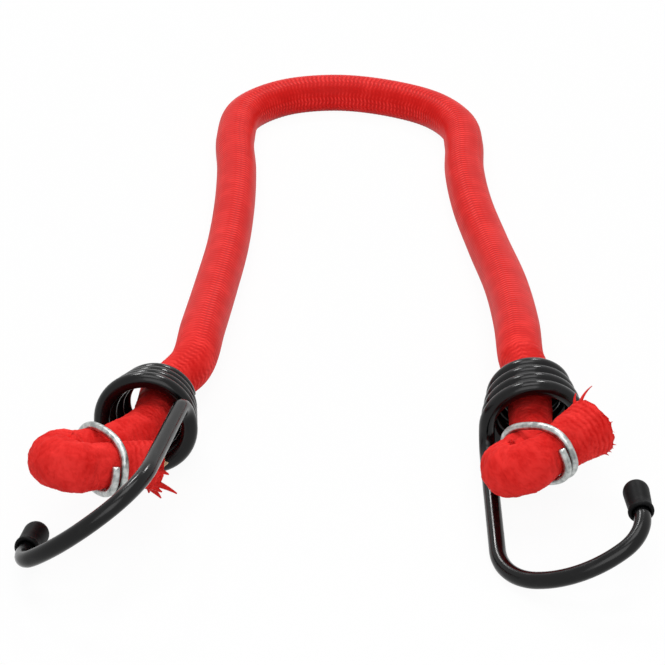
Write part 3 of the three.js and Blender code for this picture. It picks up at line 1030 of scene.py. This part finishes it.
for side in folds:
    line, radii = chamferedEnds(ringPath(side), ringSettings["wire"] / 2, ringSettings["chamfer"])
    ring = sweptTube(side + "CrimpRing", line, radii, ringSettings["sides"])
    finishPiece(ring, "galvanised", math.pi * ringSettings["wire"])
    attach(ring, side + "_end")
    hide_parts(side + "_crimp_ring")
print("crimp rings made")


# Hooks: spring steel in a vinyl sleeve, coiled behind the fold and bent into an open hook, with a capped tip

hookSettings = {
    "steelDiameter": 2.2 * mm,
    "coatedDiameter": 3.3 * mm,
    "bore": 1.12 * mm,
    "chamfer": 0.2 * mm,
    "turns": 4,
    "turnPitch": 3.24 * mm,        # turns lie touching
    "mouthRadius": 9.5 * mm,
    "backRadius": 6.7 * mm,
    "shankBend": 4.5 * mm,
    "shankLength": 27 * mm,
    "arcs": [(12.7 * mm, 65), (20.8 * mm, 50), (7.7 * mm, 68)],
    "tipLength": 6.7 * mm,
    "stepsPerTurn": 64,
    "bendSteps": 12,
    "shankSteps": 12,
    "tipSteps": 5,
    "degreesPerStep": 3,
    "coatingSides": 20,
    "steelSides": 12,
}
capSettings = {
    "length": 8.2 * mm,
    "endWall": 1.6 * mm,
    "clearance": 0.25 * mm,
    "bore": 1.75 * mm,
    "end": 2.57 * mm,
    "dome": 2.2 * mm,
    "domePower": 0.8,
    "domeSteps": 9,
    "taperSteps": 4,
    "segments": 40,
    # radius and height in mm from the mouth's inner edge over the rolled lip to the groove behind it
    "lip": [(1.75, 0.4), (1.9, 0), (2.22, 0), (2.44, 0.12),
            (2.52, 0.4), (2.52, 0.8), (2.44, 1.05), (2.32, 1.3)],
}


def hookPath():
    # the coil from its back to its mouth, a bend, the shank, three arcs and the tip
    hook = hookSettings
    points = []
    turns, steps = hook["turns"], hook["turns"] * hook["stepsPerTurn"]
    bend, mouth = hook["shankBend"], hook["mouthRadius"]
    endAngle = -math.atan2(bend, mouth)
    for i in range(steps + 1):
        left = 1 - i / steps
        angle = endAngle - fullTurn * turns * left
        radius = mix(mouth, hook["backRadius"], left)
        points.append(Vector((radius * math.cos(angle), radius * math.sin(angle),
                              -hook["turnPitch"] * turns * left)))
    mouthEnd = points[-1]
    onward = Vector((-math.sin(endAngle), math.cos(endAngle), 0))
    for i in range(1, hook["bendSteps"] + 1):
        angle = math.pi / 2 * i / hook["bendSteps"]
        climb = Vector((0, 0, bend * (1 - math.cos(angle))))
        points.append(mouthEnd + onward * bend * math.sin(angle) + climb)
    heading = 0.0
    spot = points[-1].copy()

    def advance(length):
        spot.x -= length * math.sin(heading)
        spot.z += length * math.cos(heading)
        points.append(spot.copy())

    for i in range(hook["shankSteps"]):
        advance(hook["shankLength"] / hook["shankSteps"])
    for radius, turn in hook["arcs"]:
        count = math.ceil(turn / hook["degreesPerStep"])
        half = math.radians(turn) / count / 2
        for i in range(count):
            heading += half
            advance(2 * radius * math.sin(half))
            heading += half
    for i in range(hook["tipSteps"]):
        advance(hook["tipLength"] / hook["tipSteps"])
    return points, heading


def capProfile():
    # from the bottom of the bore out over the lip, up the flaring side and over the dome
    cap = capSettings
    boreEnd = cap["length"] - cap["endWall"]
    shoulder = cap["length"] - cap["dome"]
    profile = [(0, boreEnd), (cap["bore"], boreEnd)]
    profile += [(radius * mm, height * mm) for radius, height in cap["lip"]]
    base, groove = profile[-1]
    for i in range(1, cap["taperSteps"] + 1):
        share = i / cap["taperSteps"]
        profile.append((mix(base, cap["end"], share), mix(groove, shoulder, share)))
    for i in range(1, cap["domeSteps"]):
        angle = math.pi / 2 * i / cap["domeSteps"]
        radius = cap["end"] * math.cos(angle) ** cap["domePower"]
        profile.append((radius, shoulder + cap["dome"] * math.sin(angle)))
    return profile + [(0, cap["length"])]


hookLine, tipHeading = hookPath()
tipWay = Vector((-math.sin(tipHeading), 0, math.cos(tipHeading)))
capBase = hookLine[-1] + tipWay * (capSettings["clearance"] - capSettings["length"] + capSettings["endWall"])
capPlace = Matrix.Translation(capBase) @ tipWay.to_track_quat("Z", "Y").to_matrix().to_4x4()
coatedRadius, steelRadius = hookSettings["coatedDiameter"] / 2, hookSettings["steelDiameter"] / 2
for side, fold in folds.items():
    place = endFrame(side) @ Matrix.Rotation(math.radians(fold["shankAngle"]), 4, "Z")
    line, radii = chamferedEnds([place @ point for point in hookLine], coatedRadius, hookSettings["chamfer"])
    coating = sweptTube(side + "HookCoating", line, radii, hookSettings["coatingSides"],
                        hookSettings["bore"])
    finishPiece(coating, "coating", math.pi * hookSettings["coatedDiameter"])
    steelLine = line[1:-1]
    wire = sweptTube(side + "HookWire", steelLine, [steelRadius] * len(steelLine),
                     hookSettings["steelSides"])
    finishPiece(wire, "steel")
    cap = latheShell(side + "TipCap", capProfile(), place @ capPlace, capSettings["segments"])
    finishPiece(cap, "cap")
    for piece, node in ((coating, "hook_coating"), (wire, "hook_wire"), (cap, "tip_cap")):
        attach(piece, side + "_hook")
        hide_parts(f"{side}_{node}")
print("hooks made")


# Studio: white floor and surround, two small lamps behind, a soft one overhead and a weak one in front

studio = {
    "floorSize": 6.0,
    "floorColour": "#f4f4f4",
    "floorWhite": 0.94,            # how much of the floor's plain white shows over its shading
    "ambient": 0.33,
    "aim": (0, -0.12, 0),
    "lamps": [
        {"name": "lampLeft", "place": (-0.3, 0.45, 0.7), "size": 0.17, "power": 2.4},
        {"name": "lampRight", "place": (0.24, 0.5, 0.7), "size": 0.13, "power": 2.2},
        {"name": "lampTop", "place": (0.0, -0.1, 0.9), "size": 0.46, "power": 2.6},
        {"name": "lampFront", "place": (0.0, -0.52, 0.34), "size": 0.3, "power": 0.75},
    ],
}
for settings in studio["lamps"]:
    lampData = bpy.data.lights.new(settings["name"], "AREA")
    lampData.shape = "SQUARE"
    lampData.size = settings["size"]
    lampData.energy = settings["power"]
    aimAt(bpy.data.objects.new(settings["name"], lampData), settings["place"], studio["aim"])


def whiteSeen(add):
    # 1 where the camera looks, in reflections and through clear things, 0 for light that falls on a piece
    ray = add("ShaderNodeLightPath").outputs
    seen = ray["Is Camera Ray"]
    for kind in ("Is Glossy Ray", "Is Transmission Ray"):
        seen = addMath(add, "MAXIMUM", seen, ray[kind])
    return seen


# matt white paper: plain white to the camera, with the faintest shadow under the cord
paper, add = startMaterial("matPaper")
share = addMath(add, "MULTIPLY", whiteSeen(add), studio["floorWhite"])
matt = add("ShaderNodeBsdfDiffuse", {"Color": linear(studio["floorColour"]), "Roughness": 1.0})
white = add("ShaderNodeEmission", {"Color": (1, 1, 1, 1), "Strength": 1.0})
sheet = add("ShaderNodeMixShader", {0: share, 1: matt, 2: white})
add("ShaderNodeOutputMaterial", {"Surface": sheet})
half = studio["floorSize"] / 2
floorCorners = [(-half, -half, 0), (half, -half, 0), (half, half, 0), (-half, half, 0)]
floor = newPiece("floor", floorCorners, [], [(0, 1, 2, 3)])
floor.data.materials.append(paper)

world = bpy.data.worlds.new("studio")
world.use_nodes = True
bpy.context.scene.world = world
world.node_tree.nodes.clear()
add = functools.partial(addNode, world.node_tree)
level = addRange(add, whiteSeen(add), target=(studio["ambient"], 1.0))
sky = add("ShaderNodeBackground", {"Color": (1, 1, 1, 1), "Strength": level})
add("ShaderNodeOutputWorld", {"Surface": sky})
bpy.context.scene.view_settings.view_transform = "Standard"

bpy.context.view_layer.update()
